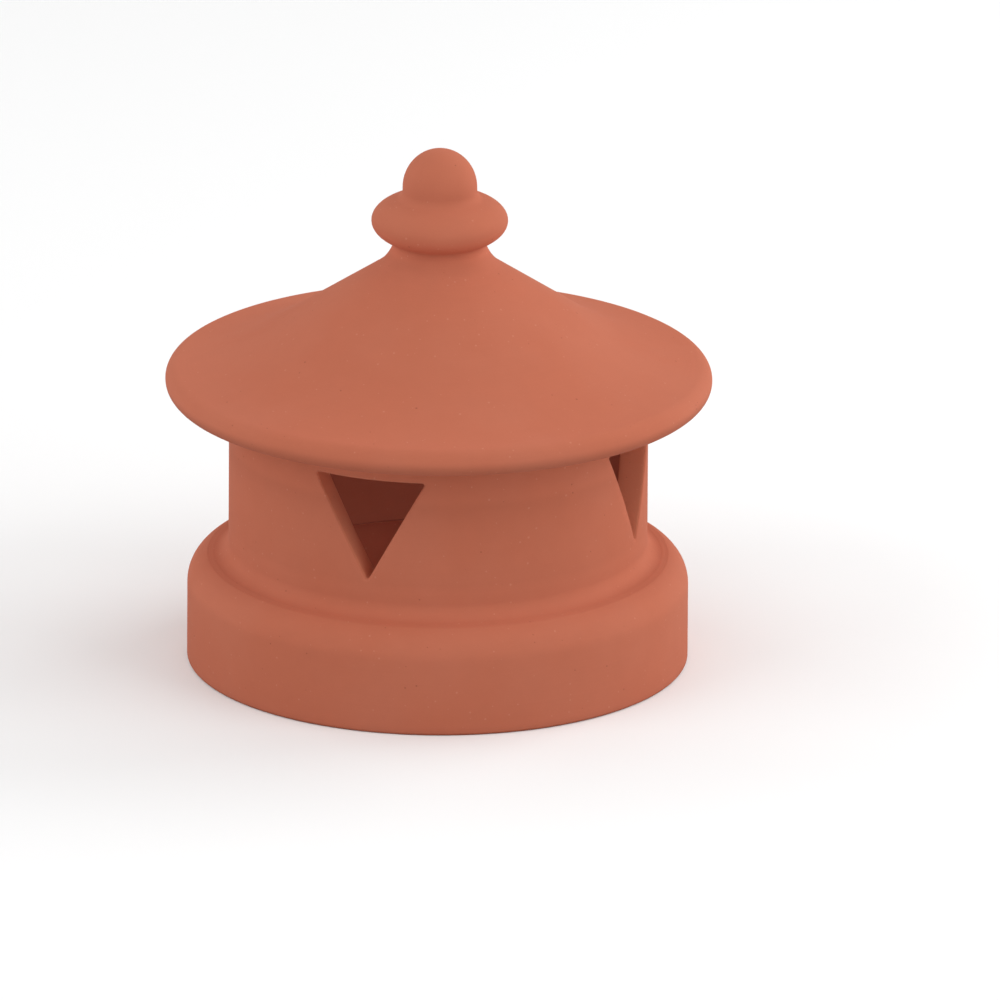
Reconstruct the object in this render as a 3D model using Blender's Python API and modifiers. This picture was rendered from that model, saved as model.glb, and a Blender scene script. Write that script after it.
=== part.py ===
# Hooded chimney pot in smooth terracotta, luted together as soft clay and fired as one.
#
# From the ground up: a collar that slips over the top of a flue, with a rounded
# shoulder, a quirk and a cove; a drum with four triangular openings; a hat with a
# half-round lip that sweeps up into a cone; a roll and a domed knob on top.
# The pot is hollow from the collar up to the crown of the hat, and the finial is solid.
#
# Metres, +Z up. The origin is the centre of the collar's underside. One opening faces
# each of +X, +Y, -X and -Y.

import bmesh
import bpy
from math import acos, asin, atan2, cos, degrees, pi, radians, sin, sqrt, tan
from mathutils import Matrix

# Clay
WALL = 0.0135            # thickness of the collar, the drum and the hat
ARRIS = 0.0015           # round on the edges of the collar and of the seat

# Collar
COLLAR_STEP = 0.0196     # how far the collar stands out from the drum
COLLAR_SIDE = 0.0370     # its upright face
SHOULDER_RADIUS = 0.0155
SHOULDER_SWEEP = 72.0    # degrees that the shoulder turns before it meets the quirk
COVE_RADIUS = 0.0075     # hollow between the quirk and the drum
SEAT_FILLET = 0.0030     # inner corner above the seat's outer edge

# Drum
DRUM_RADIUS = 0.1000
DRUM_RISE = 0.0730       # from the cove's top to the height of the lip's underside
ROOT_FILLET = 0.0040     # where the drum meets the underside of the hat
VAULT_FILLET = 0.0080    # where the drum's bore turns in under the hat

# Openings through the drum
OPENING_COUNT = 4
OPENING_WIDTH = 0.0552   # along the level top edge
OPENING_HEAD = 0.0126    # from the top edge up to the height of the lip's underside
OPENING_FOOT = 0.0097    # from the cove's top up to the point

# Hat
OVERHANG = 0.0305        # from the drum out to the lip
LIP_RADIUS = 0.0068
EAVE_SLOPE = 7.4         # degrees, where the top meets the lip
CONE_SLOPE = 33.8        # degrees, on the straight part of the cone
SWEEP_RADIUS = 0.1090    # hollow curve between the two
CROWN_RADIUS = 0.0400    # dome at the top of the inside

# Finial
NECK_RADIUS = 0.0222
NECK_SLOPE = 72.0        # degrees, where the cone turns up into the neck
NECK_SWEEP = 0.0230      # radius of that turn
NECK_RISE = 0.0020       # upright stretch under the roll
ROLL_PROUD = 0.0104      # how far the roll stands out from the neck
ROLL_DEPTH = 0.0249      # half of the roll's section, across
ROLL_HALF = 0.0125       # half of the roll's section, upright
KNOB_RADIUS = 0.0178
KNOB_FILLET = 0.0052     # hollow between the knob and the roll
KNOB_SIDE = 0.0012       # upright stretch under the dome
KNOB_DOME = 0.0187       # height of the dome

# How finely the round shapes are cut
FACETS = 56              # around the pot
FLATNESS = 0.00015       # how far a flat may lie from the round section that it follows
SHARP_ANGLE = 40.0       # degrees between faces that are shaded as an edge

NAME = "chimney_pot"
TERRACOTTA = (0.49, 0.15, 0.085, 1.0)
TERRACOTTA_ROUGHNESS = 0.8


def arc(centre, radii, start, end):
    """Points along an arc of a circle or an ellipse, between two angles in degrees."""
    span = degrees(2 * acos(1 - min(0.5, 2 * FLATNESS / sum(radii))))
    segments = max(2, round(abs(end - start) / span))
    angles = [radians(start + (end - start) * i / segments) for i in range(segments + 1)]
    return [(centre[0] + radii[0] * cos(a), centre[1] + radii[1] * sin(a)) for a in angles]


def round_arc(centre, radius, start, end):
    return arc(centre, (radius, radius), start, end)


def along_normal(point, distance, slope):
    """A point straight out from a surface that falls away from the axis at a slope."""
    return (point[0] + distance * sin(radians(slope)), point[1] + distance * cos(radians(slope)))


def shoulder_centre():
    return DRUM_RADIUS + COLLAR_STEP - SHOULDER_RADIUS, COLLAR_SIDE


def collar_heights():
    """Heights of the quirk and of the cove's top, and the cove's radius.

    The cove can be no wider than the ledge between the drum and the quirk.
    """
    quirk_x = shoulder_centre()[0] + SHOULDER_RADIUS * cos(radians(SHOULDER_SWEEP))
    quirk_z = COLLAR_SIDE + SHOULDER_RADIUS * sin(radians(SHOULDER_SWEEP))
    cove = min(COVE_RADIUS, quirk_x - DRUM_RADIUS)
    return quirk_z, quirk_z + cove, cove


def lip_centre():
    return DRUM_RADIUS + OVERHANG - LIP_RADIUS, collar_heights()[1] + DRUM_RISE + LIP_RADIUS


def sweep_centre():
    """Centre of the hat's hollow curve, which is tangent to the lip."""
    return along_normal(lip_centre(), LIP_RADIUS + SWEEP_RADIUS, EAVE_SLOPE)


def under_sweep(x, side, depth, fillet):
    """A fillet between an upright wall and a face parallel to the hat's curve.

    The wall stands at x, and the fillet lies on the side of it that side gives. The
    face is depth below the hat's curve. Returns the fillet's centre and the angle, in
    degrees, between the upright and its touching point on that face.
    """
    centre = sweep_centre()
    reach = SWEEP_RADIUS + depth + fillet
    across = centre[0] - (x + side * fillet)
    return (x + side * fillet, centre[1] - sqrt(reach ** 2 - across ** 2)), degrees(asin(across / reach))


def finial():
    """The knob, the roll and the neck, from the top of the knob down, and the cone's start."""
    # The neck's turn rises from the cone, whose line leaves the hat's hollow curve.
    cone_foot = along_normal(sweep_centre(), -SWEEP_RADIUS, CONE_SLOPE)
    turn_x = NECK_RADIUS + NECK_SWEEP * sin(radians(NECK_SLOPE))
    cone_top_x = turn_x - NECK_SWEEP * sin(radians(CONE_SLOPE))
    cone_top_z = cone_foot[1] + (cone_foot[0] - cone_top_x) * tan(radians(CONE_SLOPE))
    turn = (turn_x, cone_top_z + NECK_SWEEP * cos(radians(CONE_SLOPE)))
    neck_z = turn[1] - NECK_SWEEP * cos(radians(NECK_SLOPE))

    # The roll's oval section meets the neck at its own angle below the middle.
    roll_x = NECK_RADIUS + ROLL_PROUD - ROLL_DEPTH
    below = acos(1 - ROLL_PROUD / ROLL_DEPTH)
    roll = (roll_x, neck_z + NECK_RISE + ROLL_HALF * sin(below))

    # The fillet's centre is one fillet radius out from the oval and from the knob.
    # The angle round the oval where that holds is found by halving.
    low, high = 0.0, pi / 2
    for _ in range(50):
        angle = (low + high) / 2
        lean = atan2(sin(angle) / ROLL_HALF, cos(angle) / ROLL_DEPTH)
        if roll_x + ROLL_DEPTH * cos(angle) + KNOB_FILLET * cos(lean) > KNOB_RADIUS + KNOB_FILLET:
            low = angle
        else:
            high = angle
    fillet = (KNOB_RADIUS + KNOB_FILLET, roll[1] + ROLL_HALF * sin(angle) + KNOB_FILLET * sin(lean))

    points = arc((0.0, fillet[1] + KNOB_SIDE), (KNOB_RADIUS, KNOB_DOME), 90, 0)
    points += round_arc(fillet, KNOB_FILLET, 180, 180 + degrees(lean))
    points += arc(roll, (ROLL_DEPTH, ROLL_HALF), degrees(angle), -degrees(below))
    points += round_arc(turn, NECK_SWEEP, 270 - NECK_SLOPE, 270 - CONE_SLOPE)
    return points


def hat_outside():
    """The hat's top, its lip and its underside, in to the drum."""
    sweep = sweep_centre()
    points = round_arc(sweep, SWEEP_RADIUS, 270 - CONE_SLOPE, 270 - EAVE_SLOPE)
    points += round_arc(lip_centre(), LIP_RADIUS, 90 - EAVE_SLOPE, -90 - EAVE_SLOPE)
    root, lean = under_sweep(DRUM_RADIUS, 1, 2 * LIP_RADIUS, ROOT_FILLET)
    points += round_arc(sweep, SWEEP_RADIUS + 2 * LIP_RADIUS, 270 - EAVE_SLOPE, 270 - lean)
    points += round_arc(root, ROOT_FILLET, 90 - lean, 180)
    return points


def collar_outside():
    """The cove, the quirk, the shoulder and the collar's side, down to its foot."""
    quirk_z, cove_top, cove = collar_heights()
    points = round_arc((DRUM_RADIUS + cove, cove_top), cove, 180, 270)
    points += round_arc(shoulder_centre(), SHOULDER_RADIUS, SHOULDER_SWEEP, 0)
    points += round_arc((DRUM_RADIUS + COLLAR_STEP - ARRIS, ARRIS), ARRIS, 0, -90)
    return points


def inside():
    """The collar's bore, the seat, the drum's bore and the vault, up to its crown."""
    collar_bore = DRUM_RADIUS + COLLAR_STEP - WALL
    drum_bore = DRUM_RADIUS - WALL
    seat_z = collar_heights()[0] - WALL
    points = round_arc((collar_bore + ARRIS, ARRIS), ARRIS, 270, 180)
    points += round_arc((collar_bore - SEAT_FILLET, seat_z - SEAT_FILLET), SEAT_FILLET, 0, 90)
    points += round_arc((drum_bore + ARRIS, seat_z + ARRIS), ARRIS, 270, 180)

    vault, lean = under_sweep(drum_bore, -1, WALL, VAULT_FILLET)
    points += round_arc(vault, VAULT_FILLET, 0, 90 - lean)
    points += round_arc(sweep_centre(), SWEEP_RADIUS + WALL, 270 - lean, 270 - CONE_SLOPE)
    crown_x = CROWN_RADIUS * sin(radians(CONE_SLOPE))
    crown_z = points[-1][1] + (points[-1][0] - crown_x) * tan(radians(CONE_SLOPE))
    crown = (0.0, crown_z - CROWN_RADIUS * cos(radians(CONE_SLOPE)))
    return points + round_arc(crown, CROWN_RADIUS, 90 - CONE_SLOPE, 90)


def without_repeats(points):
    """Drop a point that two neighbouring arcs share."""
    kept = [points[0]]
    for x, z in points[1:]:
        if abs(x - kept[-1][0]) + abs(z - kept[-1][1]) > 1e-6:
            kept.append((x, z))
    return kept


def turned_pot(collection):
    """The pot without its openings: one profile, turned about Z."""
    outline = without_repeats(finial() + hat_outside() + collar_outside() + inside())
    edges = [(i, i + 1) for i in range(len(outline) - 1)]
    mesh = bpy.data.meshes.new(NAME)
    mesh.from_pydata([(x, 0.0, z) for x, z in outline], edges, [])
    pot = bpy.data.objects.new(NAME, mesh)
    collection.objects.link(pot)
    screw = pot.modifiers.new("Turn", "SCREW")
    screw.axis = "Z"
    screw.angle = 2 * pi
    screw.steps = FACETS
    screw.render_steps = FACETS
    screw.use_merge_vertices = True
    screw.merge_threshold = 0.00001
    return pot


def opening_cutter(number, collection):
    """A three-sided prism, point down, that runs straight out through the drum's wall."""
    cove_top = collar_heights()[1]
    height = DRUM_RISE - OPENING_HEAD - OPENING_FOOT
    start, end = (DRUM_RADIUS - WALL) / 2, DRUM_RADIUS + WALL
    shape = bmesh.new()
    bmesh.ops.create_cone(shape, cap_ends=True, segments=3, radius1=1, radius2=1, depth=end - start)
    # A triangle of radius 1 is 1.5 high and the root of 3 wide, with its point at +Y.
    bmesh.ops.scale(shape, vec=(OPENING_WIDTH / sqrt(3), height / 1.5, 1), verts=shape.verts)
    mesh = bpy.data.meshes.new(f"opening_cutter_{number + 1}")
    shape.to_mesh(mesh)
    shape.free()
    cutter = bpy.data.objects.new(mesh.name, mesh)
    collection.objects.link(cutter)
    # The prism's own Z points out along the radius, and its Y points down.
    lay_down = Matrix(((0, 0, 1), (-1, 0, 0), (0, -1, 0))).to_4x4()
    middle = Matrix.Translation(((start + end) / 2, 0, cove_top + OPENING_FOOT + height * 2 / 3))
    cutter.matrix_world = Matrix.Rotation(2 * pi * number / OPENING_COUNT, 4, "Z") @ middle @ lay_down
    cutter.hide_render = True
    cutter.display_type = "WIRE"


def cut_openings(pot, cutters):
    cut = pot.modifiers.new("Openings", "BOOLEAN")
    cut.operation = "DIFFERENCE"
    cut.solver = "EXACT"
    cut.operand_type = "COLLECTION"
    cut.collection = cutters


def terracotta():
    material = bpy.data.materials.new("terracotta")
    material.use_nodes = True
    shader = material.node_tree.nodes["Principled BSDF"]
    shader.inputs["Base Color"].default_value = TERRACOTTA
    shader.inputs["Roughness"].default_value = TERRACOTTA_ROUGHNESS
    shader.inputs["Metallic"].default_value = 0.0
    return material


def fix_shape(pot):
    """Keep the evaluated shape as the mesh, smooth where it is round."""
    evaluated = pot.evaluated_get(bpy.context.evaluated_depsgraph_get())
    mesh = bpy.data.meshes.new_from_object(evaluated)
    pot.modifiers.clear()
    pot.data = mesh
    mesh.name = NAME
    mesh.shade_smooth()
    mesh.set_sharp_from_angle(angle=radians(SHARP_ANGLE))
    mesh.materials.clear()
    mesh.materials.append(terracotta())


def main():
    for old in list(bpy.data.objects):
        bpy.data.objects.remove(old)
    collection = bpy.data.collections.new(NAME)
    cutters = bpy.data.collections.new("cutters")
    bpy.context.scene.collection.children.link(collection)
    bpy.context.scene.collection.children.link(cutters)
    pot = turned_pot(collection)
    for number in range(OPENING_COUNT):
        opening_cutter(number, cutters)
    cut_openings(pot, cutters)
    fix_shape(pot)


main()
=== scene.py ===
# The looks of a hooded chimney pot in smooth, matt terracotta, fired as one piece.
#
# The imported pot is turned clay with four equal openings, so the visible pot is one
# quarter of it, modelled finely around one opening, and repeated by Geometry Nodes.
# Metres, +Z up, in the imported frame: the origin is the centre of the collar's
# underside, and one opening faces each of +X, +Y, -X and -Y.

from math import acos, asin, atan2, ceil, cos, degrees, dist, exp, hypot, pi, radians
from math import sin, sqrt, tan

import bpy
from mathutils import Matrix, Vector


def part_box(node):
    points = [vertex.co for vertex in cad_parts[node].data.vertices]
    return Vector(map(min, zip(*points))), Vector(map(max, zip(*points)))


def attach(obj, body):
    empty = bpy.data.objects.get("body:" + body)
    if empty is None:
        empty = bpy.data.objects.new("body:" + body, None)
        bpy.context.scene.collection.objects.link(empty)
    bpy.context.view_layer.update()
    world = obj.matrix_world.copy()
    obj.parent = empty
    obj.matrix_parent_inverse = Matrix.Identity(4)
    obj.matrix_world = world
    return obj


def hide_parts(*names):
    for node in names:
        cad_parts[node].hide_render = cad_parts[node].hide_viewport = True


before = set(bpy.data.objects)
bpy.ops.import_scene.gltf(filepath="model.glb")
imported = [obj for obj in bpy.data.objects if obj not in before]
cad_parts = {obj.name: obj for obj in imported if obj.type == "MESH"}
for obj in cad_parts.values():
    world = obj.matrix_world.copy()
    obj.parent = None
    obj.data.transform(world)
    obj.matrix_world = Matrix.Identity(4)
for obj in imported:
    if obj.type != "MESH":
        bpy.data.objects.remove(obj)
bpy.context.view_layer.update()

MM = 0.001
NODE = "chimney_pot"
pot_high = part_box(NODE)[1]

# Clay, as in the solid
WALL = 13.5 * MM
ARRIS = 1.5 * MM

# Collar
COLLAR_RADIUS = 119.6 * MM
COLLAR_SIDE = 37.0 * MM
SHOULDER_RADIUS = 15.5 * MM
SHOULDER_SWEEP = 72.0
COVE_RADIUS = 7.5 * MM
SEAT_FILLET = 3.0 * MM
QUIRK_DEPTH = 0.3 * MM       # the line that a tool pressed into the clay above the shoulder
QUIRK_WIDTH = 1.0 * MM

# Drum
DRUM_RADIUS = 100.0 * MM
DRUM_RISE = 73.0 * MM
ROOT_FILLET = 4.0 * MM
VAULT_FILLET = 8.0 * MM

# Openings
OPENING_COUNT = 4
OPENING_WIDTH = 55.2 * MM
OPENING_HEAD = 12.6 * MM
OPENING_FOOT = 9.7 * MM
OPENING_ARRIS = 1.1 * MM     # edges softened with a wet sponge
OPENING_CORNER = 1.0 * MM    # radius left in the corners by the cutting wire

# Hat
HAT_RADIUS = pot_high.x
LIP_RADIUS = 6.8 * MM
EAVE_SLOPE = 7.4
CONE_SLOPE = 33.8
SWEEP_RADIUS = 109.0 * MM
CROWN_RADIUS = 40.0 * MM

# Finial
POT_HEIGHT = pot_high.z
NECK_RADIUS = 22.2 * MM
NECK_SLOPE = 72.0
NECK_SWEEP = 23.0 * MM
ROLL_PROUD = 10.4 * MM
ROLL_DEPTH = 24.9 * MM
ROLL_HALF = 12.5 * MM
NECK_RISE = 2.0 * MM
KNOB_RADIUS = 17.8 * MM
KNOB_FILLET = 5.2 * MM
KNOB_DOME = 18.7 * MM

# Fineness of the mesh
COLUMNS = 60                 # across a quarter of the pot
PATCH_COLUMNS = 16           # each side of an opening's middle
PATCH_ROWS = 30              # beside an opening
PATCH_RINGS = 8              # from the patch's sides to the opening
CORNER_STEPS = 4             # round half of a corner of the opening
ARRIS_STEPS = 4              # round the opening's edge
REVEAL_STEPS = 6             # through the wall
FLATNESS = 0.02 * MM
LONGEST_STEP = 2.6 * MM      # along the profile
SEAM_DISTANCE = 0.01 * MM
TINY = 1e-7                  # lengths below this are taken as none
HALVINGS = 50                # of the angle that is searched for on the roll

# Clay's colours
CLAY = (0.475, 0.139, 0.0795)
BLOOM = (0.482, 0.147, 0.0865)       # slightly paler patches
PAINTED_CUT_COLOUR = (0.475, 0.165, 0.096)     # browner, as the openings' reveals look in their shade: painted light on the cut faces
GROG = (0.56, 0.225, 0.145)          # pale specks, a guess: the photograph is too soft
IRON = (0.20, 0.062, 0.040)          # dark specks, a guess too

# Clay's sheen
CLAY_ROUGHNESS = 0.86
ROUGHNESS_CHANGE = 0.08              # from place to place
CLAY_SPECULAR = 0.08

# Marks in the clay: their size, and how much paler or darker they are
BLOOM_SIZE = 60.0 * MM
BLOOM_CONTRAST = (0.35, 0.68)
CLOUD_SIZE = 9.0 * MM
CLOUD_TONE = 0.05
GRAIN_SIZE = 0.7 * MM
GRAIN_TONE = 0.05
RING_SIZE = 1.6 * MM                 # the lines that turning left
RING_PATCH = 35.0 * MM               # they show in patches
RING_CONTRAST = (0.38, 0.62)
RING_TONE = 0.04
SPECK_EDGE = (1.1, 0.7)              # shares of a speck's radius where it fades in
GROG_SPECKS = {"spacing": 3.2 * MM, "share": 0.30, "radius": 0.42 * MM}
GROG_STRENGTH = 0.45
IRON_SPECKS = {"spacing": 6.5 * MM, "share": 0.12, "radius": 0.30 * MM}
IRON_STRENGTH = 0.5
PINHOLES = {"spacing": 5.0 * MM, "share": 0.22, "radius": 0.38 * MM}
PINHOLE_TONE = -0.25

# How much paler or darker whole places are, fitted to the photograph, and where each fades in. All
# of these paint light or shade into the clay's colour.
# Painted light on upper sides
UPPER_SIDE_PAINTED_LIGHT = 0.02
UPPER_SIDE = (0.15, 0.85)            # facing, where 1 is straight up
# Painted shade on undersides
UNDERSIDE_PAINTED_SHADE = -0.24
UNDERSIDE = (0.25, -0.65)            # the same
FINIAL_RELIEF = 0.9                  # share of the painted underside shade that the finial loses
FINIAL_FADE = (200.0 * MM, 212.0 * MM)    # heights
# Painted light on the openings' cut faces, which lie in shade
CUT_FACE_PAINTED_LIGHT = 0.23
CUT_TOP_PAINTED_LIGHT = 0.15                  # more painted light at the top of an opening, where the hat shades it
CUT_DEPTH = (0.2 * MM, 1.0 * MM)     # below the drum's skin
CUT_FOOT = (-2.0 * MM, 0.0)          # above an opening's point
CUT_HEAD = (3.0 * MM, 1.0 * MM)      # above its top
INNER_WALL = (-0.4, -0.8)            # facing, where -1 is straight towards the axis
# Painted light on the socket's wall and painted shade in the bore
SOCKET_PAINTED_LIGHT = 0.20
BORE_PAINTED_SHADE = -0.13
BORE_FADE = 1.0 * MM                 # above and below the seat
PAINTED_LIGHT_BANDS = [                        # paler bands of painted light: lowest place, highest place and tone
    (206.5 * MM, 214.0 * MM, 0.16),  # the neck, under the roll
    (112.0 * MM, 128.0 * MM, 0.08),  # the drum, under the lip
    (55.0 * MM, 64.0 * MM, 0.045),   # the cove
]
PAINTED_LIGHT_BAND_FADE = 6.0 * MM

# Heights of the marks, as the light shows them
CLOUD_RELIEF = 0.10 * MM
GRAIN_RELIEF = 0.035 * MM
RING_RELIEF = 0.05 * MM
GROG_RELIEF = 0.02 * MM
PINHOLE_RELIEF = -0.16 * MM
RELIEF_STRENGTH = 0.7

# Floor and light
FLOOR_SIZE = 24.0
FLOOR_COLOUR = (0.9, 0.9, 0.9, 1.0)
FLOOR_ROUGHNESS = 0.9
WORLD_STRENGTH = 0.33
SOFTBOX_DISTANCE = 2.0
SOFTBOX_SIZE = 1.4
SOFTBOXES = [                    # name, degrees right of the camera, elevation, watts
    ("right_front", 60, 35, 15.2),
    ("right_back", 120, 30, 19.0),
    ("back", 180, 40, 5.0),
    ("left_back", -120, 30, 8.7),
    ("left_front", -60, 35, 12.8),
    ("top_front", 0, 62, 6.3),
]
GLOWS = [                        # name, height, watts: weak lights that stand inside the pot
    ("flue_glow", 25.0 * MM, 0.037),
    ("drum_glow", 105.0 * MM, 0.018),
]
GLOW_RADIUS = 20.0 * MM
GLOW_COLOUR = (1.0, 0.85, 0.88)

# The photograph's view: a picture 1000 pixels wide, from far away
PHOTO_WIDTH = 1000.0
PHOTO_BASE = (437.3, 654.3)      # pixel of the centre of the collar's underside
PHOTO_SCALE = 2092.4             # pixels to a metre of the pot
CAMERA_AZIMUTH = 19.6
CAMERA_ELEVATION = 18.97
CAMERA_ROLL = 0.32
CAMERA_DISTANCE = 20.0
CAMERA_CLIP = (1.0, 100.0)
SENSOR_WIDTH = 36.0              # millimetres, as Blender counts lenses


def arc(centre, radii, start, end):
    """Points along an arc of a circle or an ellipse, between two angles in degrees."""
    span = degrees(2 * acos(1 - min(0.5, 2 * FLATNESS / sum(radii))))
    length = radians(abs(end - start)) * sum(radii) / 2
    segments = max(3, ceil(abs(end - start) / span), ceil(length / LONGEST_STEP))
    angles = [radians(start + (end - start) * i / segments) for i in range(segments + 1)]
    return [(centre[0] + radii[0] * cos(a), centre[1] + radii[1] * sin(a)) for a in angles]


def round_arc(centre, radius, start, end):
    return arc(centre, (radius, radius), start, end)


def along_normal(point, distance, slope):
    """A point straight out from a surface that falls away from the axis at a slope."""
    return (point[0] + distance * sin(radians(slope)), point[1] + distance * cos(radians(slope)))


# Places on the profile that several pieces of it share
shoulder = (COLLAR_RADIUS - SHOULDER_RADIUS, COLLAR_SIDE)
quirk = (shoulder[0] + SHOULDER_RADIUS * cos(radians(SHOULDER_SWEEP)),
         shoulder[1] + SHOULDER_RADIUS * sin(radians(SHOULDER_SWEEP)))
cove_top = quirk[1] + COVE_RADIUS
lip = (HAT_RADIUS - LIP_RADIUS, cove_top + DRUM_RISE + LIP_RADIUS)
sweep = along_normal(lip, LIP_RADIUS + SWEEP_RADIUS, EAVE_SLOPE)
drum_bore = DRUM_RADIUS - WALL
seat = quirk[1] - WALL
opening_top = cove_top + DRUM_RISE - OPENING_HEAD
opening_point = cove_top + OPENING_FOOT


def under_sweep(x, side, depth, fillet):
    """A fillet between an upright wall at x and a face that lies depth below the hat's curve.

    Returns the fillet's centre and the angle, in degrees, between the upright and its
    touching point on that face.
    """
    reach = SWEEP_RADIUS + depth + fillet
    across = sweep[0] - (x + side * fillet)
    centre = (x + side * fillet, sweep[1] - sqrt(reach ** 2 - across ** 2))
    return centre, degrees(asin(across / reach))


def finial():
    """The knob, the roll and the neck, from the top of the knob down to the cone."""
    cone_foot = along_normal(sweep, -SWEEP_RADIUS, CONE_SLOPE)
    turn_x = NECK_RADIUS + NECK_SWEEP * sin(radians(NECK_SLOPE))
    cone_top_x = turn_x - NECK_SWEEP * sin(radians(CONE_SLOPE))
    cone_top_z = cone_foot[1] + (cone_foot[0] - cone_top_x) * tan(radians(CONE_SLOPE))
    turn = (turn_x, cone_top_z + NECK_SWEEP * cos(radians(CONE_SLOPE)))
    neck_z = turn[1] - NECK_SWEEP * cos(radians(NECK_SLOPE))

    roll_x = NECK_RADIUS + ROLL_PROUD - ROLL_DEPTH
    below = acos(1 - ROLL_PROUD / ROLL_DEPTH)
    roll = (roll_x, neck_z + NECK_RISE + ROLL_HALF * sin(below))

    # The fillet's centre is one fillet radius out from the roll's oval and from the knob.
    low, high = 0.0, pi / 2
    for _ in range(HALVINGS):
        angle = (low + high) / 2
        lean = atan2(sin(angle) / ROLL_HALF, cos(angle) / ROLL_DEPTH)
        if roll_x + ROLL_DEPTH * cos(angle) + KNOB_FILLET * cos(lean) > KNOB_RADIUS + KNOB_FILLET:
            low = angle
        else:
            high = angle
    fillet = (KNOB_RADIUS + KNOB_FILLET, roll[1] + ROLL_HALF * sin(angle) + KNOB_FILLET * sin(lean))

    points = arc((0.0, POT_HEIGHT - KNOB_DOME), (KNOB_RADIUS, KNOB_DOME), 90, 0)
    points += round_arc(fillet, KNOB_FILLET, 180, 180 + degrees(lean))
    points += arc(roll, (ROLL_DEPTH, ROLL_HALF), degrees(angle), -degrees(below))
    points += round_arc(turn, NECK_SWEEP, 270 - NECK_SLOPE, 270 - CONE_SLOPE)
    return points


def hat_outside():
    """The hat's top, its lip and its underside, in to the drum."""
    points = round_arc(sweep, SWEEP_RADIUS, 270 - CONE_SLOPE, 270 - EAVE_SLOPE)
    points += round_arc(lip, LIP_RADIUS, 90 - EAVE_SLOPE, -90 - EAVE_SLOPE)
    root, lean = under_sweep(DRUM_RADIUS, 1, 2 * LIP_RADIUS, ROOT_FILLET)
    points += round_arc(sweep, SWEEP_RADIUS + 2 * LIP_RADIUS, 270 - EAVE_SLOPE, 270 - lean)
    return points + round_arc(root, ROOT_FILLET, 90 - lean, 180)


def foot():
    """From the cove down the collar, under its foot and up to the drum's bore."""
    collar_bore = COLLAR_RADIUS - WALL
    points = round_arc((DRUM_RADIUS + COVE_RADIUS, cove_top), COVE_RADIUS, 180, 270)
    points += round_arc(shoulder, SHOULDER_RADIUS, SHOULDER_SWEEP, 0)
    points = stepped(points, QUIRK_WIDTH / 4, near=quirk, reach=3 * QUIRK_WIDTH)
    points = pressed_line(points, quirk, QUIRK_DEPTH, QUIRK_WIDTH)
    points += round_arc((COLLAR_RADIUS - ARRIS, ARRIS), ARRIS, 0, -90)
    points += round_arc((collar_bore + ARRIS, ARRIS), ARRIS, 270, 180)
    points += round_arc((collar_bore - SEAT_FILLET, seat - SEAT_FILLET), SEAT_FILLET, 0, 90)
    return points + round_arc((drum_bore + ARRIS, seat + ARRIS), ARRIS, 270, 180)


def vault():
    """The roof of the hollow, from the drum's bore up to the crown."""
    turn, lean = under_sweep(drum_bore, -1, WALL, VAULT_FILLET)
    points = round_arc(turn, VAULT_FILLET, 0, 90 - lean)
    points += round_arc(sweep, SWEEP_RADIUS + WALL, 270 - lean, 270 - CONE_SLOPE)
    crown_x = CROWN_RADIUS * sin(radians(CONE_SLOPE))
    crown_z = points[-1][1] + (points[-1][0] - crown_x) * tan(radians(CONE_SLOPE))
    crown = (0.0, crown_z - CROWN_RADIUS * cos(radians(CONE_SLOPE)))
    return points + round_arc(crown, CROWN_RADIUS, 90 - CONE_SLOPE, 90)


def stepped(points, step, near=None, reach=0.0):
    """The same line with no stretch longer than step, everywhere or only near a point."""
    kept = [points[0]]
    for end in points[1:]:
        start = kept[-1]
        across, up = end[0] - start[0], end[1] - start[1]
        length = hypot(across, up)
        if length < TINY:
            continue
        close = near is None or min(dist(start, near), dist(end, near)) < reach
        count = ceil(length / step) if close else 1
        kept += [(start[0] + across * i / count, start[1] + up * i / count)
                 for i in range(1, count + 1)]
    return kept


def pressed_line(points, at, depth, width):
    """The profile with a soft groove pressed down into it at a point."""
    def drop(x, z):
        return depth * exp(-((x - at[0]) ** 2 + (z - at[1]) ** 2) / width ** 2)
    return [(x, z - drop(x, z)) for x, z in points]


class Skin:
    """Vertices and faces of one quarter, centred on the opening that faces +X."""

    def __init__(self):
        self.points = []
        self.faces = []

    def add(self, radius, angle, height):
        return self.add_point(radius * cos(angle), radius * sin(angle), height)

    def add_point(self, x, y, z):
        self.points.append((x, y, z))
        return len(self.points) - 1

    def join(self, upper, lower):
        """Faces between two rows that run to the right as seen from outside."""
        for i in range(len(upper) - 1):
            corners = [upper[i], lower[i], lower[i + 1], upper[i + 1]]
            self.faces.append(list(dict.fromkeys(corners)))

    def object(self, name):
        mesh = bpy.data.meshes.new(name)
        mesh.from_pydata(self.points, [], self.faces)
        piece = bpy.data.objects.new(name, mesh)
        bpy.context.scene.collection.objects.link(piece)
        return piece


def column_angle(column):
    """Angle of a column of vertices, counted from the middle of the quarter."""
    return 2 * pi / OPENING_COUNT * column / COLUMNS


def turned_rows(skin, profile):
    """A row of vertices across the quarter for each point of a profile, joined into faces."""
    rows = []
    for radius, height in stepped(profile, LONGEST_STEP):
        if radius < TINY:
            rows.append([skin.add(0.0, 0.0, height)] * (COLUMNS + 1))
        else:
            rows.append([skin.add(radius, column_angle(c - COLUMNS / 2), height)
                         for c in range(COLUMNS + 1)])
    for upper, lower in zip(rows, rows[1:]):
        skin.join(upper, lower)


def drum_sides(skin, radius, first_z, last_z):
    """The plain stretches of the drum's wall on both sides of the opening's patch."""
    half = COLUMNS // 2
    for columns in (range(-half, -PATCH_COLUMNS + 1), range(PATCH_COLUMNS, half + 1)):
        rows = [[skin.add(radius, column_angle(c), first_z + (last_z - first_z) * j / PATCH_ROWS)
                 for c in columns] for j in range(PATCH_ROWS + 1)]
        for upper, lower in zip(rows, rows[1:]):
            skin.join(upper, lower)


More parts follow.
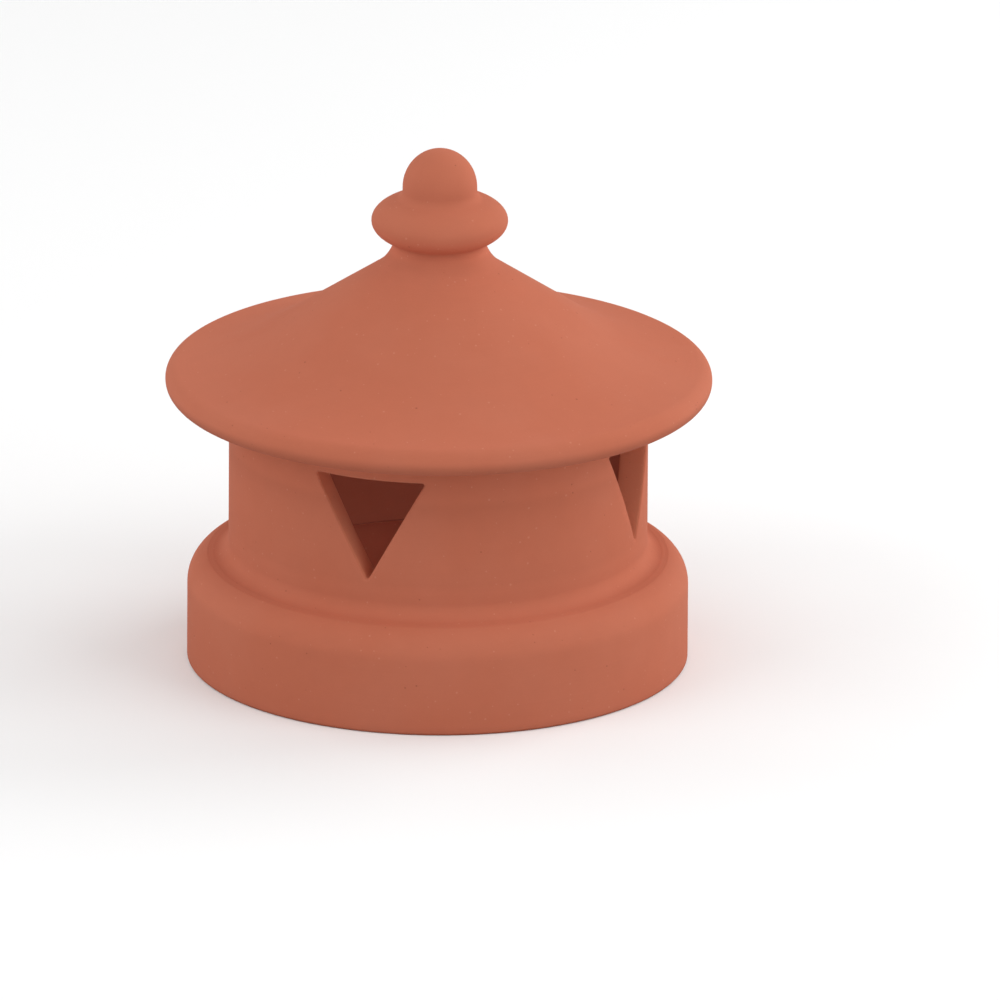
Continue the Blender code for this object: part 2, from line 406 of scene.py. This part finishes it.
def patch_frame(top_z, bottom_z):
    """The patch's four sides as angle and height, anticlockwise from its top right corner."""
    n, m = PATCH_COLUMNS, PATCH_ROWS
    side = [column_angle(c) for c in range(-n, n + 1)]
    level = [bottom_z + (top_z - bottom_z) * j / m for j in range(m + 1)]
    loop = [(side[-1 - i], top_z) for i in range(2 * n)]
    loop += [(side[0], level[m - j]) for j in range(m)]
    loop += [(side[i], bottom_z) for i in range(2 * n)]
    return loop + [(side[-1], level[j]) for j in range(m)]


def turned(direction, angle):
    return Vector((direction.x * cos(angle) - direction.y * sin(angle),
                   direction.x * sin(angle) + direction.y * cos(angle)))


def opening_edge(before, start, end, after, count):
    """One edge of the opening, from the middle of one rounded corner to the next.

    The four corners are given as Y and Z. Each result is a point and the direction
    that leads straight away from the opening there.
    """
    def corner(at, one, other):
        """Centre of the round in a corner, and half of the angle it turns through."""
        to_one, to_other = (one - at).normalized(), (other - at).normalized()
        half = to_one.angle(to_other) / 2
        return at + (to_one + to_other).normalized() * OPENING_CORNER / sin(half), pi / 2 - half

    along = (end - start).normalized()
    away = Vector((along.y, -along.x))
    first, first_turn = corner(start, before, end)
    last, last_turn = corner(end, start, after)
    straight = count - 2 * CORNER_STEPS
    result = []
    for i in range(CORNER_STEPS):
        direction = turned(away, -first_turn * (1 - i / CORNER_STEPS))
        result.append((first + direction * OPENING_CORNER, direction))
    for i in range(straight):
        result.append((first.lerp(last, i / straight) + away * OPENING_CORNER, away))
    for i in range(CORNER_STEPS):
        direction = turned(away, last_turn * i / CORNER_STEPS)
        result.append((last + direction * OPENING_CORNER, direction))
    return result


def opening_outline():
    """The opening's edge, anticlockwise as seen from outside, from its top right corner."""
    right = Vector((OPENING_WIDTH / 2, opening_top))
    left = Vector((-OPENING_WIDTH / 2, opening_top))
    point = Vector((0.0, opening_point))
    slant = PATCH_ROWS + PATCH_COLUMNS
    outline = opening_edge(point, right, left, point, 2 * PATCH_COLUMNS)
    outline += opening_edge(right, left, point, right, slant)
    return outline + opening_edge(left, point, right, left, slant)


def opening_rings(radius, frame_loop, outline, inwards):
    """Rings from the patch's sides to the opening's rounded edge, as points.

    inwards is 1 on the outside of the drum and -1 in its bore, where the edge turns
    the other way.
    """
    def on_wall(y):
        return sqrt(radius ** 2 - y ** 2)

    rims = [place + direction * OPENING_ARRIS for place, direction in outline]
    rings = []
    for k in range(PATCH_RINGS):
        share = k / PATCH_RINGS
        ring = []
        for (angle, height), rim in zip(frame_loop, rims):
            a = angle + (asin(rim.x / radius) - angle) * share
            z = height + (rim.y - height) * share
            ring.append((radius * cos(a), radius * sin(a), z))
        rings.append(ring)
    for k in range(ARRIS_STEPS + 1):
        turn = pi / 2 * k / ARRIS_STEPS
        ring = []
        for place, direction in outline:
            y, z = place + direction * OPENING_ARRIS * (1 - sin(turn))
            ring.append((on_wall(y) - inwards * OPENING_ARRIS * (1 - cos(turn)), y, z))
        rings.append(ring)
    return rings


def cut_opening(skin, outer_z, inner_z):
    """The opening's patch on the outside, its reveal, and its patch in the bore."""
    outline = opening_outline()
    outside = opening_rings(DRUM_RADIUS, patch_frame(*outer_z), outline, 1)
    inside = opening_rings(drum_bore, patch_frame(*inner_z), outline, -1)[::-1]
    reveal = []
    for k in range(1, REVEAL_STEPS):
        share = k / REVEAL_STEPS
        reveal.append([tuple(Vector(o).lerp(Vector(i), share))
                       for o, i in zip(outside[-1], inside[0])])
    rows = [[skin.add_point(*place) for place in ring] for ring in outside + reveal + inside]
    for outer, inner in zip(rows, rows[1:]):
        count = len(outer)
        for i in range(count):
            j = (i + 1) % count
            skin.faces.append([outer[i], outer[j], inner[j], inner[i]])


def quarter_pot():
    """One quarter of the pot as a mesh, open along the two planes where it meets the next."""
    skin = Skin()
    top, bottom, roof = finial() + hat_outside(), foot(), vault()
    turned_rows(skin, top)
    drum_sides(skin, DRUM_RADIUS, top[-1][1], bottom[0][1])
    turned_rows(skin, bottom)
    drum_sides(skin, drum_bore, bottom[-1][1], roof[0][1])
    turned_rows(skin, roof)
    cut_opening(skin, (top[-1][1], bottom[0][1]), (roof[0][1], bottom[-1][1]))
    return skin.object("quarter_pot")


def repeat_round_tree():
    """Geometry Nodes that repeat a sector about Z, close its seams and give it its clay."""
    tree = bpy.data.node_groups.new("repeat_round", "GeometryNodeTree")
    face = tree.interface
    face.new_socket("Geometry", in_out="INPUT", socket_type="NodeSocketGeometry")
    face.new_socket("Count", in_out="INPUT", socket_type="NodeSocketInt")
    face.new_socket("Seam Distance", in_out="INPUT", socket_type="NodeSocketFloat")
    face.new_socket("Clay", in_out="INPUT", socket_type="NodeSocketMaterial")
    face.new_socket("Geometry", in_out="OUTPUT", socket_type="NodeSocketGeometry")

    def node(kind, links=(), **settings):
        made = tree.nodes.new(kind)
        for key, value in settings.items():
            setattr(made, key, value)
        for name, source in links:
            if isinstance(source, bpy.types.NodeSocket):
                tree.links.new(source, made.inputs[name])
            else:
                made.inputs[name].default_value = source
        return made

    given = node("NodeGroupInput").outputs
    places = node("GeometryNodeMeshLine", [("Count", given["Count"]), ("Offset", (0.0, 0.0, 0.0))])
    index = node("GeometryNodeInputIndex").outputs[0]
    step = node("ShaderNodeMath", [(0, 2 * pi), (1, given["Count"])], operation="DIVIDE").outputs[0]
    turn = node("ShaderNodeMath", [(0, index), (1, step)], operation="MULTIPLY").outputs[0]
    about_z = node("ShaderNodeCombineXYZ", [("Z", turn)]).outputs[0]
    copies = node("GeometryNodeInstanceOnPoints",
                  [("Points", places.outputs[0]), ("Instance", given["Geometry"]),
                   ("Rotation", about_z)])
    real = node("GeometryNodeRealizeInstances", [("Geometry", copies.outputs[0])])
    closed = node("GeometryNodeMergeByDistance",
                  [("Geometry", real.outputs[0]), ("Distance", given["Seam Distance"])])
    smooth = node("GeometryNodeSetShadeSmooth", [("Geometry", closed.outputs[0])])
    clay = node("GeometryNodeSetMaterial",
                [("Geometry", smooth.outputs[0]), ("Material", given["Clay"])])
    node("NodeGroupOutput", [("Geometry", clay.outputs[0])])
    return tree


def set_inputs(modifier, **values):
    """Sets a Geometry Nodes modifier's inputs, which are kept under their identifiers."""
    for item in modifier.node_group.interface.items_tree:
        key = item.name.lower().replace(" ", "_")
        if item.in_out == "INPUT" and key in values:
            modifier[item.identifier] = values[key]


def whole_pot(clay):
    sector = quarter_pot()
    round_about = sector.modifiers.new("Round about", "NODES")
    round_about.node_group = repeat_round_tree()
    set_inputs(round_about, count=OPENING_COUNT, seam_distance=SEAM_DISTANCE, clay=clay)
    shaped = sector.evaluated_get(bpy.context.evaluated_depsgraph_get())
    mesh = bpy.data.meshes.new_from_object(shaped)
    mesh.name = "terracotta_pot"
    pot = bpy.data.objects.new("terracotta_pot", mesh)
    bpy.context.scene.collection.objects.link(pot)
    bpy.data.objects.remove(sector)
    return pot


class Value:
    """A number in a shader tree. Arithmetic on it adds Math nodes."""

    def __init__(self, maker, socket):
        self.maker = maker
        self.socket = socket

    def _math(self, operation, *terms):
        return self.maker.node("ShaderNodeMath", {"operation": operation}, dict(enumerate(terms)))

    def __add__(self, other):
        return self._math("ADD", self, other)

    def __sub__(self, other):
        return self._math("SUBTRACT", self, other)

    def __rsub__(self, other):
        return self._math("SUBTRACT", other, self)

    def __mul__(self, other):
        return self._math("MULTIPLY", self, other)

    def __truediv__(self, other):
        return self._math("DIVIDE", self, other)

    def __pow__(self, other):
        return self._math("POWER", self, other)

    __radd__ = __add__
    __rmul__ = __mul__


class Finish:
    """A material whose nodes are added by node(), with its Principled BSDF in shader."""

    def __init__(self, name):
        self.material = bpy.data.materials.new(name)
        self.material.use_nodes = True
        self.tree = self.material.node_tree
        self.shader = self.tree.nodes["Principled BSDF"]

    def node(self, kind, settings=None, inputs=None, output=0):
        """One node with its settings and the values or links of its sockets."""
        made = self.tree.nodes.new(kind)
        for key, value in (settings or {}).items():
            setattr(made, key, value)
        for key, value in (inputs or {}).items():
            self.feed(made.inputs[key], value)
        return Value(self, made.outputs[output])

    def feed(self, socket, value):
        if isinstance(value, Value):
            self.tree.links.new(value.socket, socket)
        else:
            socket.default_value = value

    def rgba(self, colour):
        return colour if isinstance(colour, Value) else (*colour, 1.0)

    def mix(self, share, one, other):
        """A colour between two others."""
        return self.node("ShaderNodeMix", {"data_type": "RGBA"},
                         {0: share, 6: self.rgba(one), 7: self.rgba(other)}, output=2)

    def between(self, value, start, end):
        """0 where the value is at the start, 1 at the end, and smooth between the two."""
        return self.node("ShaderNodeMapRange", {"interpolation_type": "SMOOTHSTEP"},
                         {"Value": value, "From Min": start, "From Max": end})

    def specks(self, place, spacing, share, radius):
        """Small round specks, 1 inside, in about the given share of cells of one spacing."""
        cells = {"Vector": place, "Scale": 1.0 / spacing}
        near = self.node("ShaderNodeTexVoronoi", inputs=cells)
        lot = self.node("ShaderNodeTexVoronoi", inputs=cells, output=1)
        drawn = self.node("ShaderNodeSeparateColor", inputs={0: lot})
        bigger = self.node("ShaderNodeSeparateColor", inputs={0: lot}, output=1)
        chosen = self.node("ShaderNodeMath", {"operation": "LESS_THAN"}, {0: drawn, 1: share})
        from_middle = near / (radius / spacing * (0.5 + bigger))
        return chosen * self.between(from_middle, *SPECK_EDGE)

    def noise(self, place, size, detail=2.0, roughness=0.5):
        """Soft noise from 0 to 1 with features of about one size, in metres."""
        return self.node("ShaderNodeTexNoise", {"noise_dimensions": "3D"},
                         {"Vector": place, "Scale": 1.0 / size, "Detail": detail,
                          "Roughness": roughness})


def cut_faces(clay, z, radius):
    """1 on the faces that the wire left through the drum's wall, and 0 elsewhere."""
    below_skin = clay.between(radius, *(DRUM_RADIUS - depth for depth in CUT_DEPTH))
    outside_bore = clay.between(radius, *(drum_bore + depth for depth in CUT_DEPTH))
    above_point = clay.between(z, *(opening_point + height for height in CUT_FOOT))
    below_top = clay.between(z, *(opening_top + height for height in CUT_HEAD))
    return below_skin * outside_bore * above_point * below_top


def inner_walls(clay, x, y, radius, facing):
    """1 on the upright faces that look towards the pot's axis, and 0 elsewhere."""
    nx, ny = (clay.node("ShaderNodeSeparateXYZ", inputs={0: facing}, output=i) for i in range(2))
    return clay.between((x * nx + y * ny) / radius, *INNER_WALL)


def terracotta():
    """Fired clay, thrown and sponged smooth: faint turning lines, specks, pinholes and bloom, with
    painted light and shade.
    """
    clay = Finish("terracotta")
    place = clay.node("ShaderNodeTexCoord", output=3)
    facing = clay.node("ShaderNodeTexCoord", output=1)
    x, y, z = (clay.node("ShaderNodeSeparateXYZ", inputs={0: place}, output=i) for i in range(3))
    up = clay.node("ShaderNodeSeparateXYZ", inputs={0: facing}, output=2)
    radius = (x * x + y * y) ** 0.5
    turned_at = clay.node("ShaderNodeCombineXYZ", inputs={0: radius, 1: z})

    bloom = clay.noise(place, BLOOM_SIZE, detail=3.0)
    cloud = clay.noise(place, CLOUD_SIZE, detail=3.0) - 0.5
    grain = clay.noise(place, GRAIN_SIZE) - 0.5
    rings = clay.noise(turned_at, RING_SIZE, roughness=0.7)
    ring_fade = clay.between(clay.noise(place, RING_PATCH), *RING_CONTRAST)
    grog = clay.specks(place, **GROG_SPECKS)
    iron = clay.specks(place, **IRON_SPECKS)
    pinholes = clay.specks(place, **PINHOLES)
    tone = 1.0 + cloud * CLOUD_TONE + grain * GRAIN_TONE
    tone = tone + (rings - 0.5) * ring_fade * RING_TONE + pinholes * PINHOLE_TONE

    # These tones are painted light and shade: what the lights leave over when they are matched to
    # the photograph.
    # Painted light makes upper sides a little paler and painted shade makes undersides darker, the
    # finial's hardly.
    on_finial = clay.between(z, *FINIAL_FADE)
    underside = clay.between(up, *UNDERSIDE) * (1.0 - on_finial * FINIAL_RELIEF)
    tone = tone + clay.between(up, *UPPER_SIDE) * UPPER_SIDE_PAINTED_LIGHT + underside * UNDERSIDE_PAINTED_SHADE

    # Painted light: the cut faces are paler, most of all at the top of an opening, where the hat
    # shades them.
    cut = cut_faces(clay, z, radius)
    tone = tone + cut * (CUT_FACE_PAINTED_LIGHT + clay.between(z, opening_point, opening_top) * CUT_TOP_PAINTED_LIGHT)

    # Painted shade makes the bore darker and painted light makes the socket below it paler.
    inner_wall = inner_walls(clay, x, y, radius, facing)
    in_bore = clay.between(z, seat - BORE_FADE, seat + BORE_FADE)
    tone = tone + inner_wall * (SOCKET_PAINTED_LIGHT + in_bore * (BORE_PAINTED_SHADE - SOCKET_PAINTED_LIGHT))

    # Painted light: the outside is paler in the bands under the roll and the lip, and in the cove,
    # where shade falls.
    for low, high, paler in PAINTED_LIGHT_BANDS:
        above = clay.between(z, low - PAINTED_LIGHT_BAND_FADE, low)
        below = clay.between(z, high + PAINTED_LIGHT_BAND_FADE, high)
        tone = tone + above * below * (1.0 - inner_wall) * paler

    colour = clay.mix(clay.between(bloom, *BLOOM_CONTRAST), CLAY, BLOOM)
    # Painted light: the cut faces take a browner colour
    colour = clay.mix(cut, colour, PAINTED_CUT_COLOUR)
    colour = clay.mix(grog * GROG_STRENGTH, colour, GROG)
    colour = clay.mix(iron * IRON_STRENGTH, colour, IRON)
    shade = clay.node("ShaderNodeVectorMath", {"operation": "SCALE"},
                      {"Vector": colour, "Scale": tone})
    clay.feed(clay.shader.inputs["Base Color"], shade)
    clay.feed(clay.shader.inputs["Roughness"], CLAY_ROUGHNESS + (cloud + grain) * ROUGHNESS_CHANGE)
    clay.shader.inputs["Specular IOR Level"].default_value = CLAY_SPECULAR

    height = cloud * CLOUD_RELIEF + grain * GRAIN_RELIEF + rings * ring_fade * RING_RELIEF
    height = height + grog * GROG_RELIEF + pinholes * PINHOLE_RELIEF
    bump = clay.node("ShaderNodeBump",
                     inputs={"Strength": RELIEF_STRENGTH, "Distance": 1.0, "Height": height})
    clay.feed(clay.shader.inputs["Normal"], bump)
    return clay.material


def pale_floor():
    floor_mesh = bpy.data.meshes.new("floor")
    half = FLOOR_SIZE / 2
    corners = [(-half, -half, 0.0), (half, -half, 0.0), (half, half, 0.0), (-half, half, 0.0)]
    floor_mesh.from_pydata(corners, [], [(0, 1, 2, 3)])
    floor = bpy.data.objects.new("floor", floor_mesh)
    bpy.context.scene.collection.objects.link(floor)
    paint = Finish("pale_floor")
    paint.shader.inputs["Base Color"].default_value = FLOOR_COLOUR
    paint.shader.inputs["Roughness"].default_value = FLOOR_ROUGHNESS
    paint.shader.inputs["Specular IOR Level"].default_value = 0.0
    floor_mesh.materials.append(paint.material)


def softbox(name, place, power):
    """A square white light that faces the middle of the pot."""
    data = bpy.data.lights.new(name, "AREA")
    data.shape = "SQUARE"
    data.size = SOFTBOX_SIZE
    data.energy = power
    lamp = bpy.data.objects.new(name, data)
    lamp.location = place
    aim = Vector((0.0, 0.0, POT_HEIGHT / 2)) - Vector(place)
    lamp.rotation_euler = aim.to_track_quat("-Z", "Y").to_euler()
    bpy.context.scene.collection.objects.link(lamp)


def inside_glow(name, height, power):
    """A weak light on the axis: the softboxes alone leave the hollow too dark."""
    data = bpy.data.lights.new(name, "POINT")
    data.shadow_soft_size = GLOW_RADIUS
    data.energy = power
    data.color = GLOW_COLOUR
    lamp = bpy.data.objects.new(name, data)
    lamp.location = (0.0, 0.0, height)
    lamp.visible_camera = False
    bpy.context.scene.collection.objects.link(lamp)


def around(azimuth, elevation, distance):
    """A place seen from the pot at an azimuth, which is 0 towards -Y, and an elevation."""
    a, e = radians(azimuth), radians(elevation)
    return Vector((distance * sin(a) * cos(e), -distance * cos(a) * cos(e), distance * sin(e)))


def studio():
    world = bpy.data.worlds.new("studio")
    world.use_nodes = True
    sky = world.node_tree.nodes["Background"]
    sky.inputs["Color"].default_value = (1.0, 1.0, 1.0, 1.0)
    sky.inputs["Strength"].default_value = WORLD_STRENGTH
    bpy.context.scene.world = world
    for name, across, elevation, power in SOFTBOXES:
        softbox(name, around(CAMERA_AZIMUTH + across, elevation, SOFTBOX_DISTANCE), power)
    for glow in GLOWS:
        inside_glow(*glow)
    bpy.context.scene.view_settings.view_transform = "Standard"


def photo_camera():
    """A long lens far away, turned so that the pot stands where the photograph has it."""
    data = bpy.data.cameras.new("camera")
    data.sensor_width = SENSOR_WIDTH
    data.lens = SENSOR_WIDTH * CAMERA_DISTANCE * PHOTO_SCALE / PHOTO_WIDTH
    data.clip_start, data.clip_end = CAMERA_CLIP
    camera = bpy.data.objects.new("camera", data)
    camera.location = around(CAMERA_AZIMUTH, CAMERA_ELEVATION, CAMERA_DISTANCE)
    level = (-camera.location).to_track_quat("-Z", "Y")
    pixel = 1 / (PHOTO_SCALE * CAMERA_DISTANCE)
    off_right, off_down = ((c - PHOTO_WIDTH / 2) * pixel for c in PHOTO_BASE)
    ahead = Vector((0.0, 0.0, -1.0))
    lead = Vector((off_right, -off_down, -1.0)).rotation_difference(ahead)
    roll = Matrix.Rotation(radians(CAMERA_ROLL), 3, "Z").to_quaternion()
    camera.rotation_euler = (level @ roll @ lead).to_euler()
    bpy.context.scene.collection.objects.link(camera)
    bpy.context.scene.camera = camera


photo_camera()
studio()
pale_floor()
pot = whole_pot(terracotta())
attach(pot, "root")
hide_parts(NODE)
